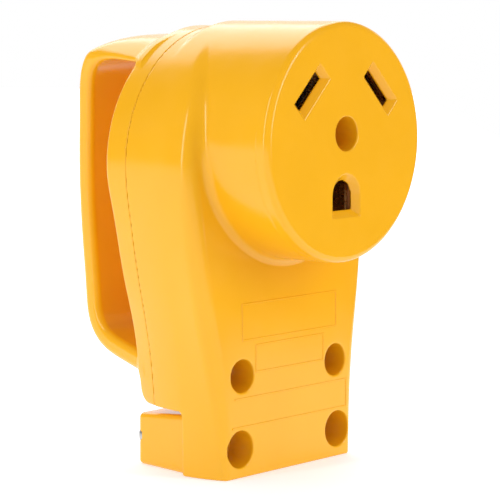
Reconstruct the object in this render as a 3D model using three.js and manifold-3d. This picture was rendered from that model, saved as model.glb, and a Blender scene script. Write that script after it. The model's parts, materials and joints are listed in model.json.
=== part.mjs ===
// A 30 A travel-trailer cord receptacle with a grip handle, in millimetres.
// +Z is up, -Y is the mating face, and the origin is the bottom centre of the whole object.
import * as THREE from "three";
import { mergeVertices } from "three/addons/utils/BufferGeometryUtils.js";
import Module from "manifold-3d";

const wasm = await Module();
wasm.setup();

// ---------------------------------------------------------------- driving dimensions
const DEPTH = 74; // mating face to the back of the handle
const FACE_Y = -DEPTH / 2;
const GAP = 0.3; // between pieces that touch
const WALL = 2.8;

const HEAD_R = 29; // round head that carries the mating face
const HEAD_Z = 81.5;
const FACE_T = 2;
const BODY_R = 33.8; // round top of the body behind the head
const BODY_Z = HEAD_Z - 6;
const PANEL_Y = FACE_Y + 17.7; // flat front panel
const SEAM_Y = FACE_Y + 41.2; // housing and cover meet here
const REAR_Y = FACE_Y + 48;
const MID_Y = FACE_Y + 30;
const NOTCH_Z = 15.8; // underside of the body behind the tongue
const TONGUE_Y = FACE_Y + 30.3; // back of the lower tongue
const CABLE_R = 7.5;
const CABLE_Y = TONGUE_Y + GAP / 2;

const LINE_SLOT = { x: 12.93, z: HEAD_Z + 12.6, length: 13.6, width: 5.4, inset: 1.5 };
const GROUND_SLOT = { z: HEAD_Z - 12.8, width: 10.6, height: 10.6, inset: 1.7 };

const FACE_SCREW = { x: 0, z: HEAD_Z + 2.1, hole: 4.15, seat: FACE_Y + 14, tip: REAR_Y - 2.6 };
const SIDE_SCREW = { x: 17.6, z: HEAD_Z - 56.5, hole: 4.07, seat: PANEL_Y + 12, tip: REAR_Y - 2 };
const CLAMP_SCREW = { x: 18.4, z: HEAD_Z - 74.35, hole: 4.56 };
const SHANK_R = 2.0;
const CLEAR_R = 2.4;
const THREAD_R = 2.15; // bore that a shank screws into
const HEAD = { r: 3.6, h: 2.4 };
const CLAMP_HEAD = { r: 2.9, h: 1.9, sink: 1.6, room: 0.2 };
const WASHER = { r: 3.8, t: 0.8 };

const CLAMP = { front: TONGUE_Y + GAP, rear: FACE_Y + 49.5, xFront: 24, xRear: 21.6 };
const CLAMP_TOP = { front: 14.7, rear: 12.8 };
const NUT = { front: TONGUE_Y - 4.5, t: 3.1, r: 4.2 };
const CLAMP_TIP = NUT.front - 1.5;

const CARRIER = { r: HEAD_R - WALL - GAP, front: FACE_Y + FACE_T + GAP, back: FACE_Y + 19.5 };
const RETAINER = { front: CARRIER.back + GAP, t: 2 };
const BLOCK = { front: RETAINER.front + RETAINER.t + GAP, t: 7, w: 10, h: 9 };
const PLATE = { t: 1.2, w: 9.4, h: 8 };
const TERMINAL = { shank: 1.75, bore: 1.9, head: { r: 3.3, h: 2.2 }, length: 7.2 };
const RETAINER_SCREW = { x: 19, z: HEAD_Z - 10, shank: 1.4, bore: 1.6, head: { r: 2.6, h: 1.8 }, length: 10 };

const POST_R = 5; // screw posts of the cover
const TUBE_R = 6; // screw tubes of the housing
const LIP = { t: 1.4, reach: 2.2 }; // the cover's lip, which goes inside the housing's walls
const RIB = { heights: [3.4, 7, 10.6], t: 1.2, depth: 0.9 }; // gripping ribs in the clamp's channel

// ---------------------------------------------------------------- materials
const material = (color, roughness, metalness = 0) =>
  new THREE.MeshStandardMaterial({ color, roughness, metalness });
const YELLOW = material(0xfcb524, 0.35);
const PHENOLIC = material(0x2a1d16, 0.6);
const FIBRE = material(0x39302a, 0.7);
const BRASS = material(0xc79a4b, 0.3, 1);
const NICKEL = material(0xc9c7c0, 0.25, 1);
const ZINC = material(0xb4b7ba, 0.35, 1);
const GREEN = material(0x2f7d46, 0.4, 1);

// ---------------------------------------------------------------- solids
// A three.js geometry as a manifold solid.
function solid(geometry) {
  const bare = new THREE.BufferGeometry();
  bare.setAttribute("position", geometry.getAttribute("position"));
  bare.setIndex(geometry.index);
  const merged = mergeVertices(bare, 1e-4);
  const vertProperties = merged.attributes.position.array;
  const triVerts = new Uint32Array(merged.index.array);
  return new wasm.Manifold(new wasm.Mesh({ numProp: 3, vertProperties, triVerts }));
}

const group = new THREE.Group();

function part(name, shape, finish) {
  const { vertProperties, triVerts, numProp } = shape.getMesh();
  const geometry = new THREE.BufferGeometry();
  const positions = new Float32Array((vertProperties.length / numProp) * 3);
  for (let i = 0; i < positions.length / 3; i++) {
    positions.set(vertProperties.subarray(i * numProp, i * numProp + 3), i * 3);
  }
  geometry.setAttribute("position", new THREE.BufferAttribute(positions, 3));
  geometry.setIndex(new THREE.BufferAttribute(new Uint32Array(triVerts), 1));
  const mesh = new THREE.Mesh(geometry, finish);
  mesh.name = name;
  group.add(mesh);
}

// A round bar along Y.
function barY(x, z, r, y0, y1, sides = 20) {
  const bar = new THREE.CylinderGeometry(r, r, y1 - y0, sides);
  return solid(bar.translate(x, (y0 + y1) / 2, z));
}

function box(x0, x1, y0, y1, z0, z1) {
  const block = new THREE.BoxGeometry(x1 - x0, y1 - y0, z1 - z0);
  return solid(block.translate((x0 + x1) / 2, (y0 + y1) / 2, (z0 + z1) / 2));
}

// A box whose face in the XZ plane is turned by an angle about its own middle.
function turnedBox(x, z, w, h, y0, y1, angle) {
  const block = new THREE.BoxGeometry(w, y1 - y0, h).rotateY(-angle);
  return solid(block.translate(x, (y0 + y1) / 2, z));
}

// A closed skin over rings of equally many points, with flat ends.
function loft(rings, flatEnd) {
  const n = rings[0].length;
  const positions = rings.flat().flatMap((p) => [p.x, p.y, p.z]);
  const index = [];
  for (let k = 0; k + 1 < rings.length; k++) {
    for (let i = 0; i < n; i++) {
      const a = k * n + i;
      const b = k * n + ((i + 1) % n);
      index.push(a, b, b + n, a, b + n, a + n);
    }
  }
  const last = (rings.length - 1) * n;
  for (const [first, forward] of [[0, false], [last, true]]) {
    const flat = rings[first / n].map(flatEnd);
    const turn = THREE.ShapeUtils.area(flat) > 0 === forward;
    for (const [a, b, c] of THREE.ShapeUtils.triangulateShape(flat, [])) {
      const same = THREE.ShapeUtils.area([flat[a], flat[b], flat[c]]) > 0 === turn;
      index.push(first + a, first + (same ? b : c), first + (same ? c : b));
    }
  }
  const skin = new THREE.BufferGeometry();
  skin.setAttribute("position", new THREE.Float32BufferAttribute(positions, 3));
  skin.setIndex(index);
  return solid(skin);
}

const unite = (...shapes) => shapes.reduce((a, b) => a.add(b));
const cut = (shape, ...tools) => tools.reduce((a, b) => a.subtract(b), shape);

// ---------------------------------------------------------------- outer form of the body
// Half widths at the panel, at the middle and at the back, from the round top down to the ground.
const profile = (...points) => new THREE.SplineCurve(points.map((p) => new THREE.Vector2(...p)));
const TOP = [BODY_R, BODY_Z];
const FRONT_WIDTH = profile(TOP, [32.5, 62], [30.1, 48.5], [28.2, 37], [26.6, 27.5], [25.2, 17], [23.4, 0]);
const MID_WIDTH = profile(TOP, [32.9, 62], [30.7, 48], [28.6, 36.5], [27, 27], [26.2, 17], [25.9, 0]);
const REAR_WIDTH = profile(TOP, [31.8, 64.5], [27.9, 47], [24.9, 36], [22.9, 24.5], [21.5, 15], [20, 0]);
const EDGE = { low: 0.8, high: 5, full: 32 }; // rounding round the panel: at the ground, and from z = full up

function widthAt(curve, z) {
  if (z >= BODY_Z) return Math.sqrt(Math.max(BODY_R ** 2 - (z - BODY_Z) ** 2, 0.25));
  const points = curve.getPoints(48);
  const k = Math.min(points.findIndex((p) => p.y <= z), points.length - 1);
  const [a, b] = [points[Math.max(k - 1, 0)], points[k]];
  return a.y === b.y ? b.x : b.x + ((a.x - b.x) * (z - b.y)) / (a.y - b.y);
}

// Plan outline at a height, anticlockwise from above, with the walls drawn in by an inset.
function planOutline(z, inset) {
  const shrink = inset > 0 && z > BODY_Z ? Math.max(BODY_R - inset, 1) / BODY_R : 1;
  const level = BODY_Z + (z - BODY_Z) / shrink;
  const width = (curve) => {
    const w = widthAt(curve, level);
    return Math.max(shrink < 1 ? w * shrink : w - inset, 0.4);
  };
  const [front, mid, rear] = [FRONT_WIDTH, MID_WIDTH, REAR_WIDTH].map(width);
  const rounding = THREE.MathUtils.mapLinear(Math.min(z, EDGE.full), 0, EDGE.full, EDGE.low, EDGE.high);
  const corner = Math.min(rounding, front / 3);
  const point = (x, y) => new THREE.Vector3(x, y, z);
  const half = [];
  const edgeY = PANEL_Y + inset;
  half.push(point(front - corner, edgeY), point(front - 0.3 * corner, edgeY + 0.3 * corner));
  half.push(point(front, edgeY + corner));
  half.push(point((front + mid) / 2 + 0.3, (edgeY + MID_Y) / 2), point(mid, MID_Y));
  half.push(point((mid + rear) / 2 + 0.5, (MID_Y + REAR_Y) / 2), point(rear, REAR_Y));
  const mirrored = half.map((p) => point(-p.x, p.y)).reverse();
  return [point(0, PANEL_Y + inset), ...half, ...mirrored];
}

function bodyForm(inset, bottom) {
  const levels = [];
  const steps = 9;
  for (let i = 0; i < steps; i++) levels.push(bottom + ((BODY_Z - bottom) * i) / steps);
  const topR = BODY_R - inset;
  for (const degrees of [0, 10, 20, 30, 40, 50, 60, 70, 80, 87]) {
    levels.push(BODY_Z + topR * Math.sin(THREE.MathUtils.degToRad(degrees)));
  }
  return loft(levels.map((z) => planOutline(z, inset)), (p) => new THREE.Vector2(p.x, p.y));
}

const slab = (y0, y1, z0 = -1, z1 = 120) => box(-60, 60, y0, y1, z0, z1);

// ---------------------------------------------------------------- openings of the mating face
// A slot mouth: a straight-sided hole with a bevelled lead-in.
function bevelledSlot(outline, inset, depth, x, z, angle) {
  const shape = (shrink) => outline(shrink).map((p) => p.clone());
  const stations = [[FACE_Y - 0.5, -0.5], [FACE_Y + inset, inset], [FACE_Y + depth, inset]];
  const bevel = stations.map(([y, shrink]) => shape(shrink).map((p) => new THREE.Vector3(p.x, y, p.y)));
  const tool = bevel.map((ring) => ring.map((p) =>
    new THREE.Vector3(
      x + p.x * Math.cos(angle) - p.z * Math.sin(angle),
      p.y,
      z + p.x * Math.sin(angle) + p.z * Math.cos(angle),
    )));
  return loft(tool, (p) => new THREE.Vector2(p.x, p.z));
}

// Outlines run clockwise seen from the face, so that the loft along +Y faces outwards.
const barOutline = (length, width) => (shrink) => {
  const [a, b] = [length / 2 - shrink, width / 2 - shrink];
  return [[-a, -b], [-a, b], [a, b], [a, -b]].map((p) => new THREE.Vector2(...p));
};
const archOutline = (width, height) => (shrink) => {
  const r = width / 2 - shrink;
  const springing = height / 2 - width / 2;
  const foot = shrink - height / 2;
  const arch = [];
  for (let i = 0; i <= 8; i++) {
    const a = Math.PI * (1 - i / 8);
    arch.push(new THREE.Vector2(r * Math.cos(a), springing + r * Math.sin(a)));
  }
  return [new THREE.Vector2(-r, foot), ...arch, new THREE.Vector2(r, foot)];
};

function lineSlot(side) {
  const outline = barOutline(LINE_SLOT.length, LINE_SLOT.width);
  const angle = (-side * Math.PI) / 4;
  return bevelledSlot(outline, LINE_SLOT.inset, FACE_T + 1, side * LINE_SLOT.x, LINE_SLOT.z, angle);
}

function groundSlot() {
  const outline = archOutline(GROUND_SLOT.width, GROUND_SLOT.height);
  return bevelledSlot(outline, GROUND_SLOT.inset, FACE_T + 1, 0, GROUND_SLOT.z, 0);
}

// ---------------------------------------------------------------- front housing
const SIDES = [["left", -1], ["right", 1]];

function headShell() {
  const edge = 1.2;
  const back = SEAM_Y - 3.2;
  const rim = [[HEAD_R - edge, FACE_Y], [HEAD_R - 0.3 * edge, FACE_Y + 0.3 * edge], [HEAD_R, FACE_Y + edge]];
  const outline = [[0, FACE_Y], ...rim, [HEAD_R, back], [0, back]].map((p) => new THREE.Vector2(...p));
  return solid(new THREE.LatheGeometry(outline, 48).translate(0, 0, HEAD_Z));
}

function frontHousing() {
  const form = bodyForm(0, 0);
  const body = form.intersect(slab(-60, SEAM_Y - GAP / 2, NOTCH_Z));
  const tongue = form.intersect(slab(-60, TONGUE_Y, -1, NOTCH_Z + 1));
  const cavity = bodyForm(WALL, NOTCH_Z + WALL).intersect(slab(-60, 60, NOTCH_Z + WALL));
  const headCavity = barY(0, HEAD_Z, HEAD_R - WALL, FACE_Y + FACE_T, SEAM_Y, 48);
  let shell = unite(body, tongue, headShell()).subtract(cavity).subtract(headCavity);
  // screw tubes
  shell = shell.add(barY(FACE_SCREW.x, FACE_SCREW.z, TUBE_R, FACE_Y + 1, FACE_Y + 23, 24));
  for (const [, side] of SIDES) {
    const tube = barY(side * SIDE_SCREW.x, SIDE_SCREW.z, TUBE_R, PANEL_Y + 2, SEAM_Y - GAP / 2, 24);
    shell = shell.add(tube.intersect(bodyForm(0.6, 0)));
  }
  // the cable comes down between the tongue and the clamp
  const cable = new THREE.CylinderGeometry(CABLE_R, CABLE_R, 60, 32).rotateX(Math.PI / 2);
  shell = cut(shell, solid(cable.translate(0, CABLE_Y, -10)));
  const flare = new THREE.CylinderGeometry(CABLE_R + 1.1, CABLE_R + 1.1, 8, 32).rotateX(Math.PI / 2);
  shell = cut(shell, solid(flare.translate(0, CABLE_Y, NOTCH_Z + 3)));
  // holes
  shell = cut(
    shell,
    lineSlot(-1),
    lineSlot(1),
    groundSlot(),
    barY(FACE_SCREW.x, FACE_SCREW.z, FACE_SCREW.hole, FACE_Y - 1, FACE_SCREW.seat),
    barY(FACE_SCREW.x, FACE_SCREW.z, CLEAR_R, FACE_Y, FACE_Y + 24),
  );
  const nutSeat = NUT.front - GAP;
  for (const [, side] of SIDES) {
    const x = side * SIDE_SCREW.x;
    const clampX = side * CLAMP_SCREW.x;
    shell = cut(
      shell,
      barY(x, SIDE_SCREW.z, SIDE_SCREW.hole, PANEL_Y - 2, SIDE_SCREW.seat),
      barY(x, SIDE_SCREW.z, CLEAR_R, PANEL_Y, SEAM_Y + 1),
      barY(clampX, CLAMP_SCREW.z, CLAMP_SCREW.hole, PANEL_Y - 2, nutSeat),
      barY(clampX, CLAMP_SCREW.z, NUT.r + GAP, nutSeat - 0.1, NUT.front + NUT.t + GAP, 6),
      barY(clampX, CLAMP_SCREW.z, CLEAR_R, PANEL_Y, TONGUE_Y + 1),
    );
  }
  return shell;
}

// ---------------------------------------------------------------- rear cover with its handle
// The grip strap's middle line in the YZ plane, from its upper root to its lower root.
const GRIP_LINE = [
  [8.6, 104.2], [18, 104.6], [26, 104], [31, 101.6], [33.5, 97], [34.2, 88], [34.5, 76], [33.8, 58],
  [32.4, 43.5], [31, 35], [27, 29.9], [19.6, 27], [8.6, 24.4],
];
const GRIP_T = 5;

// Half width of the strap and how far its edges fall below its middle, by the share of its length.
const gripWidth = (t) => 19 + (t < 0.5 ? 5.5 : 3.5) * Math.abs(2 * t - 1) ** 4;
const gripCrown = (t) => (t < 0.3 ? 1.6 * (1 - t / 0.3) : 0) + 0.6;

function gripStrap() {
  const points = GRIP_LINE.map(([y, z]) => new THREE.Vector3(0, y, z));
  const line = new THREE.CatmullRomCurve3(points, false, "centripetal");
  const steps = 26;
  const rings = [];
  for (let k = 0; k <= steps; k++) {
    const t = k / steps;
    const middle = line.getPointAt(t);
    const along = line.getTangentAt(t);
    const out = new THREE.Vector3(0, -along.z, along.y);
    const [w, crown] = [gripWidth(t), gripCrown(t)];
    const at = (x, n) => middle.clone().addScaledVector(out, n - crown * (x / w) ** 2).setX(x);
    const h = GRIP_T / 2;
    const [e, f] = [w - 1.3, h - 1.6]; // where the section's corners start
    rings.push([
      at(-w, -f), at(-w, f), at(-e, h), at(-w / 2, h), at(0, h), at(w / 2, h), at(e, h),
      at(w, f), at(w, -f), at(e, -h), at(w / 2, -h), at(0, -h), at(-w / 2, -h), at(-e, -h),
    ]);
  }
  // both ends of the strap's line run nearly level, so their sections flatten onto the XZ plane
  const flatEnd = (p) => new THREE.Vector2(p.x, -p.z);
  return loft(rings, flatEnd);
}

function rearCover() {
  const form = bodyForm(0, 0);
  const outside = WALL + GAP;
  const inside = outside + LIP.t;
  const inset = (depth, y0, y1) => bodyForm(depth, NOTCH_Z + depth).intersect(slab(y0, y1, NOTCH_Z + depth));
  const outer = form.intersect(slab(SEAM_Y + GAP / 2, 60, NOTCH_Z));
  const lip = inset(outside, SEAM_Y - LIP.reach, SEAM_Y + 1);
  const hollow = inset(inside, -60, REAR_Y - WALL);
  let shell = outer.add(lip);
  for (const [, side] of SIDES) {
    const room = barY(side * SIDE_SCREW.x, SIDE_SCREW.z, TUBE_R + GAP, SEAM_Y - 4, SEAM_Y + GAP / 2, 24);
    shell = shell.subtract(room);
  }
  shell = shell.subtract(hollow);
  for (const [, side] of SIDES) {
    const post = barY(side * SIDE_SCREW.x, SIDE_SCREW.z, POST_R, SEAM_Y + GAP / 2, REAR_Y - 1, 24);
    shell = shell.add(post.intersect(bodyForm(0.6, 0)));
    shell = shell.subtract(barY(side * SIDE_SCREW.x, SIDE_SCREW.z, THREAD_R, SEAM_Y, SIDE_SCREW.tip + 0.6));
  }
  shell = shell.add(barY(FACE_SCREW.x, FACE_SCREW.z, POST_R, FACE_Y + 23 + GAP, REAR_Y - 1, 24));
  shell = shell.subtract(barY(FACE_SCREW.x, FACE_SCREW.z, THREAD_R, FACE_Y, FACE_SCREW.tip + 0.6));
  const strap = gripStrap().subtract(slab(-60, REAR_Y - 1.5));
  return shell.add(strap);
}

// ---------------------------------------------------------------- cord clamp
function cordClamp() {
  const { front, rear, xFront, xRear } = CLAMP;
  const section = (y, w, bottom, top) => {
    const outline = [[-w, bottom], [-w, top - 1], [-w + 1, top], [w - 1, top], [w, top - 1], [w, bottom]];
    return outline.map(([x, z]) => new THREE.Vector3(x, y, z));
  };
  const rings = [
    section(front, xFront, 0, CLAMP_TOP.front),
    section(rear - 0.9, xRear + 0.2, 0, CLAMP_TOP.rear + 0.2),
    section(rear, xRear - 0.7, 0.9, CLAMP_TOP.rear - 0.7),
  ];
  let block = loft(rings, (p) => new THREE.Vector2(p.x, p.z));
  const channel = new THREE.CylinderGeometry(CABLE_R, CABLE_R, 60, 32).rotateX(Math.PI / 2);
  block = cut(block, solid(channel.translate(0, CABLE_Y, 0)));
  for (const z of RIB.heights) {
    const inner = CABLE_R - RIB.depth;
    const rib = new THREE.CylinderGeometry(CABLE_R + 1, CABLE_R + 1, RIB.t, 32).rotateX(Math.PI / 2);
    const bore = new THREE.CylinderGeometry(inner, inner, RIB.t + 2, 32).rotateX(Math.PI / 2);
    const ribRing = solid(rib.translate(0, CABLE_Y, z)).subtract(solid(bore.translate(0, CABLE_Y, z)));
    block = block.add(ribRing.intersect(slab(front, rear)));
  }
  for (const [, side] of SIDES) {
    const x = side * CLAMP_SCREW.x;
    block = cut(
      block,
      barY(x, CLAMP_SCREW.z, CLEAR_R, front - 1, rear + 1),
      barY(x, CLAMP_SCREW.z, CLAMP_HEAD.r + CLAMP_HEAD.room, rear - CLAMP_HEAD.sink, rear + 1),
    );
  }
  return block;
}

// ---------------------------------------------------------------- fasteners
// A pan-head screw along Y: the head's underside is at seat, and its top is towards dir (+1 or -1).
function screw(x, z, seat, tip, head, shankR, dir, driver) {
  const [y0, y1] = [seat, tip].sort((a, b) => a - b);
  const shank = barY(x, z, shankR, y0, y1, 16);
  const { r, h } = head;
  const dome = [[0, 0], [r, 0], [r, h * 0.55], [r * 0.8, h * 0.88], [r * 0.4, h], [0, h]];
  const cap = new THREE.LatheGeometry(dome.map((p) => new THREE.Vector2(...p)), 20);
  if (dir < 0) cap.rotateX(Math.PI);
  const placed = solid(cap.translate(x, seat, z));
  const recess = [seat + dir * h * 0.45, seat + dir * (h + 1)];
  const [r0, r1] = recess.sort((a, b) => a - b);
  const blade = r * 0.6;
  const slot = driver === "cross" ? 0.45 : 0.5;
  let made = placed.add(shank).subtract(box(x - blade, x + blade, r0, r1, z - slot, z + slot));
  if (driver === "cross") made = made.subtract(box(x - slot, x + slot, r0, r1, z - blade, z + blade));
  return made;
}

function ring(x, z, outer, inner, y0, y1, sides = 20) {
  return barY(x, z, outer, y0, y1, sides).subtract(barY(x, z, inner, y0 - 1, y1 + 1, 20));
}

function hexNut(x, z) {
  return ring(x, z, NUT.r, THREAD_R, NUT.front, NUT.front + NUT.t, 6);
}

// ---------------------------------------------------------------- contacts
const LINE_CLIP = { z: LINE_SLOT.z, length: 11.4, gap: 2.4 };
const GROUND_CLIP = { z: GROUND_SLOT.z, length: 8.4, gap: 5.4 };
const CONTACTS = [
  { name: "hot", x: LINE_SLOT.x, angle: -Math.PI / 4, finish: BRASS, screwFinish: BRASS, ...LINE_CLIP },
  { name: "neutral", x: -LINE_SLOT.x, angle: Math.PI / 4, finish: NICKEL, screwFinish: NICKEL, ...LINE_CLIP },
  { name: "ground", x: 0, angle: Math.PI / 2, finish: BRASS, screwFinish: GREEN, ...GROUND_CLIP },
];
const JAW_T = 0.9;
const POCKET_CLEAR = 0.4;
const NECK = 5;
const pocketSize = ({ length, gap }) => [length + 2 * POCKET_CLEAR, gap + 2 * (JAW_T + POCKET_CLEAR)];

function contactClip(contact) {
  const { x, z, angle, length, gap } = contact;
  const jawFront = CARRIER.front + 0.5;
  const baseFront = CARRIER.back - 2;
  const baseBack = CARRIER.back - 0.6;
  const across = gap + 2 * JAW_T;
  const outer = turnedBox(x, z, length, across, jawFront, baseBack, angle);
  const mouth = turnedBox(x, z, length + 2, gap, jawFront - 1, baseFront, angle);
  const [neckW, neckH] = [NECK, Math.min(across, NECK)].map((size) => size - 2 * GAP);
  const neck = turnedBox(x, z, neckW, neckH, baseBack - 0.5, BLOCK.front - GAP, angle);
  return outer.subtract(mouth).add(neck);
}

function terminalBlock({ x, z, angle }) {
  const block = turnedBox(x, z, BLOCK.w, BLOCK.h, BLOCK.front, BLOCK.front + BLOCK.t, angle);
  return block.subtract(barY(x, z, TERMINAL.bore, BLOCK.front + 1, BLOCK.front + BLOCK.t + 1, 16));
}

const PLATE_Y = BLOCK.front + BLOCK.t + GAP;
function pressurePlate({ x, z, angle }) {
  const plate = turnedBox(x, z, PLATE.w, PLATE.h, PLATE_Y, PLATE_Y + PLATE.t, angle);
  return plate.subtract(barY(x, z, TERMINAL.bore + 0.2, PLATE_Y - 1, PLATE_Y + PLATE.t + 1, 16));
}

function contactCarrier() {
  const [front, back] = [CARRIER.front - 1, CARRIER.back + 1];
  let puck = barY(0, HEAD_Z, CARRIER.r, CARRIER.front, CARRIER.back, 48);
  puck = puck.subtract(barY(FACE_SCREW.x, FACE_SCREW.z, TUBE_R + GAP, front, back, 24));
  for (const contact of CONTACTS) {
    const [w, h] = pocketSize(contact);
    puck = puck.subtract(turnedBox(contact.x, contact.z, w, h, front, back, contact.angle));
  }
  for (const [, side] of SIDES) {
    const { x, z, bore } = RETAINER_SCREW;
    puck = puck.subtract(barY(side * x, z, bore, CARRIER.back - 9, CARRIER.back + 1, 12));
  }
  return puck;
}

function contactRetainer() {
  const back = RETAINER.front + RETAINER.t;
  let disc = barY(0, HEAD_Z, CARRIER.r, RETAINER.front, back, 48);
  disc = disc.subtract(barY(FACE_SCREW.x, FACE_SCREW.z, TUBE_R + GAP, RETAINER.front - 1, back + 1, 24));
  for (const { x, z, angle } of CONTACTS) {
    disc = disc.subtract(turnedBox(x, z, NECK, NECK, RETAINER.front - 1, back + 1, angle));
  }
  for (const [, side] of SIDES) {
    const { x, z, bore } = RETAINER_SCREW;
    disc = disc.subtract(barY(side * x, z, bore, RETAINER.front - 1, back + 1, 12));
  }
  return disc;
}

// ---------------------------------------------------------------- the object
part("front_housing", frontHousing(), YELLOW);
part("rear_cover_with_handle", rearCover(), YELLOW);
part("cord_clamp", cordClamp(), YELLOW);
part("contact_carrier", contactCarrier(), PHENOLIC);
part("contact_retainer", contactRetainer(), FIBRE);

for (const contact of CONTACTS) {
  part(`${contact.name}_contact_clip`, contactClip(contact), contact.finish);
  part(`${contact.name}_terminal_block`, terminalBlock(contact), contact.finish);
  part(`${contact.name}_pressure_plate`, pressurePlate(contact), contact.finish);
  const seat = PLATE_Y + PLATE.t + GAP;
  const tip = seat - TERMINAL.length;
  const made = screw(contact.x, contact.z, seat, tip, TERMINAL.head, TERMINAL.shank, 1, "slot");
  part(`${contact.name}_terminal_screw`, made, contact.screwFinish);
}

for (const [name, side] of SIDES) {
  const { x, z, shank, head, length } = RETAINER_SCREW;
  const seat = RETAINER.front + RETAINER.t + GAP;
  part(`retainer_screw_${name}`, screw(side * x, z, seat, seat - length, head, shank, 1, "cross"), ZINC);
}

function housingScrew(name, x, z, seat, tip) {
  const washerBack = seat - GAP;
  const washerFront = washerBack - WASHER.t;
  part(`${name}_washer`, ring(x, z, WASHER.r, CLEAR_R, washerFront, washerBack), ZINC);
  part(`${name}_screw`, screw(x, z, washerFront - GAP, tip, HEAD, SHANK_R, -1, "cross"), ZINC);
}
housingScrew("face", FACE_SCREW.x, FACE_SCREW.z, FACE_SCREW.seat, FACE_SCREW.tip);
for (const [name, side] of SIDES) {
  housingScrew(`housing_${name}`, side * SIDE_SCREW.x, SIDE_SCREW.z, SIDE_SCREW.seat, SIDE_SCREW.tip);
  const seat = CLAMP.rear - CLAMP_HEAD.sink + GAP;
  const [x, z] = [side * CLAMP_SCREW.x, CLAMP_SCREW.z];
  part(`clamp_screw_${name}`, screw(x, z, seat, CLAMP_TIP, CLAMP_HEAD, SHANK_R, 1, "cross"), ZINC);
  part(`clamp_nut_${name}`, hexNut(x, z), ZINC);
}

export default group;
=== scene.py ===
"""A handled cord-end receptacle in glossy yellow plastic, standing on a pale floor.

The mouldings and fasteners are distance fields, in millimetres, made into smooth meshes in the places
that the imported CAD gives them. The contacts and their carrier are the CAD's own, with bevelled edges.
"""
import json
import math

import bpy
import numpy as np
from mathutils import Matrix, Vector


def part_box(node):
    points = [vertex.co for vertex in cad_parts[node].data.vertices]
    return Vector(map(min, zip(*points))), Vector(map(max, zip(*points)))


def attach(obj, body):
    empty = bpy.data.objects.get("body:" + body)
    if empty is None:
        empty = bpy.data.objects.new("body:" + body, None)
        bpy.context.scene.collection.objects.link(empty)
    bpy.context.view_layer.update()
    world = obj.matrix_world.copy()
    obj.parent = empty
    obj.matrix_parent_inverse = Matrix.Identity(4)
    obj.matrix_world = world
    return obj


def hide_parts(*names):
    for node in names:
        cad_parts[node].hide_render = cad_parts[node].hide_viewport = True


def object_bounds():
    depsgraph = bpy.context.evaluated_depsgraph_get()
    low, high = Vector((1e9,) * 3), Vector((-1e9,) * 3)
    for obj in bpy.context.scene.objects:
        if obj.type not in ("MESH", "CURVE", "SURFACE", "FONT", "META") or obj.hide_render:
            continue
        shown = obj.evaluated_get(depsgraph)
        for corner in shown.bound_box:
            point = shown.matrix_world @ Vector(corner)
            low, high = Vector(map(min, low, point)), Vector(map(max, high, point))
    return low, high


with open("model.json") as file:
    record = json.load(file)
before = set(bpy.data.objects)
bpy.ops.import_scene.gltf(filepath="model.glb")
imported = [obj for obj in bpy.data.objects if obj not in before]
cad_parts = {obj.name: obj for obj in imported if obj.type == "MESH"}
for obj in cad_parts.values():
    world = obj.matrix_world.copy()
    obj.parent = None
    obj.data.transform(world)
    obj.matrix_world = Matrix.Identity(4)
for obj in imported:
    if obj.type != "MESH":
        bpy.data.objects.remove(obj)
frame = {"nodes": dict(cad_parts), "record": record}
cad_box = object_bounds()

# ------------------------------------------------------------------ camera
CAMERA_PLACE = Vector((-0.4180, -0.3758, 0.1141))
CAMERA_AZIMUTH = math.radians(-48.5)
CAMERA_TILT = math.radians(6.21)
LENS_MM = 161.55


def make_camera():
    lens = bpy.data.cameras.new("camera")
    lens.lens = LENS_MM
    lens.sensor_width = 36
    lens.clip_start = 0.01
    camera = bpy.data.objects.new("camera", lens)
    bpy.context.collection.objects.link(camera)
    level = math.cos(CAMERA_TILT)
    across = -math.sin(CAMERA_AZIMUTH) * level
    along = math.cos(CAMERA_AZIMUTH) * level
    ahead = Vector((across, along, -math.sin(CAMERA_TILT)))
    camera.location = CAMERA_PLACE
    camera.rotation_mode = "QUATERNION"
    camera.rotation_quaternion = ahead.to_track_quat("-Z", "Y")
    bpy.context.scene.camera = camera


make_camera()


# ------------------------------------------------------------------ places, from the CAD nodes, in mm
def box_mm(node):
    low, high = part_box(node)
    return np.array(low) * 1000, np.array(high) * 1000


def centre_mm(node):
    low, high = box_mm(node)
    return (low + high) / 2


HOUSING_LOW, HOUSING_HIGH = box_mm("front_housing")
CLAMP_LOW, CLAMP_HIGH = box_mm("cord_clamp")
FACE_Y = HOUSING_LOW[1]
# The round head, and the body's round top below it.
HEAD_R = 29.0
HEAD_Z = HOUSING_HIGH[2] - HEAD_R
BODY_R = 33.8
BODY_Z = HEAD_Z - 6
# How much smaller the body's round top is at the panel.
BODY_TAPER = 1.1
PANEL_Y = FACE_Y + 17.7
MID_Y = FACE_Y + 30
# The flat back of the tongue that the cord clamp closes on.
TONGUE_Y = CLAMP_LOW[1] - 0.3
# Where the front housing meets the rear cover.
SEAM_Y = HOUSING_HIGH[1] + 0.15
REAR_Y = FACE_Y + 48
# The body ends at the notch, and only the tongue goes on down to the foot.
NOTCH_Z = 15.8
WALL = 2.8
FACE_T = 2.0
# The hollow stays this far inside, where the panel lies back.
LEAST_WALL = 1.2
CABLE_R = 7.5
CABLE_Y = TONGUE_Y + 0.15
EDGE_FINE = 0.3

FACE_HOLE = {"x": 0.0, "z": centre_mm("face_screw")[2], "r": 4.15, "seat": box_mm("face_washer")[1][1] + 0.3}
SIDE_HOLE = {
    "x": centre_mm("housing_right_screw")[0],
    "z": centre_mm("housing_right_screw")[2],
    "r": 4.07,
    "seat": box_mm("housing_right_washer")[1][1] + 0.3,
}
NUT_LOW, NUT_HIGH = box_mm("clamp_nut_right")
NUT_HOLE = {"x": centre_mm("clamp_nut_right")[0], "z": centre_mm("clamp_nut_right")[2], "r": 4.56}
NUT_R = (NUT_HIGH[2] - NUT_LOW[2]) / 2
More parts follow.
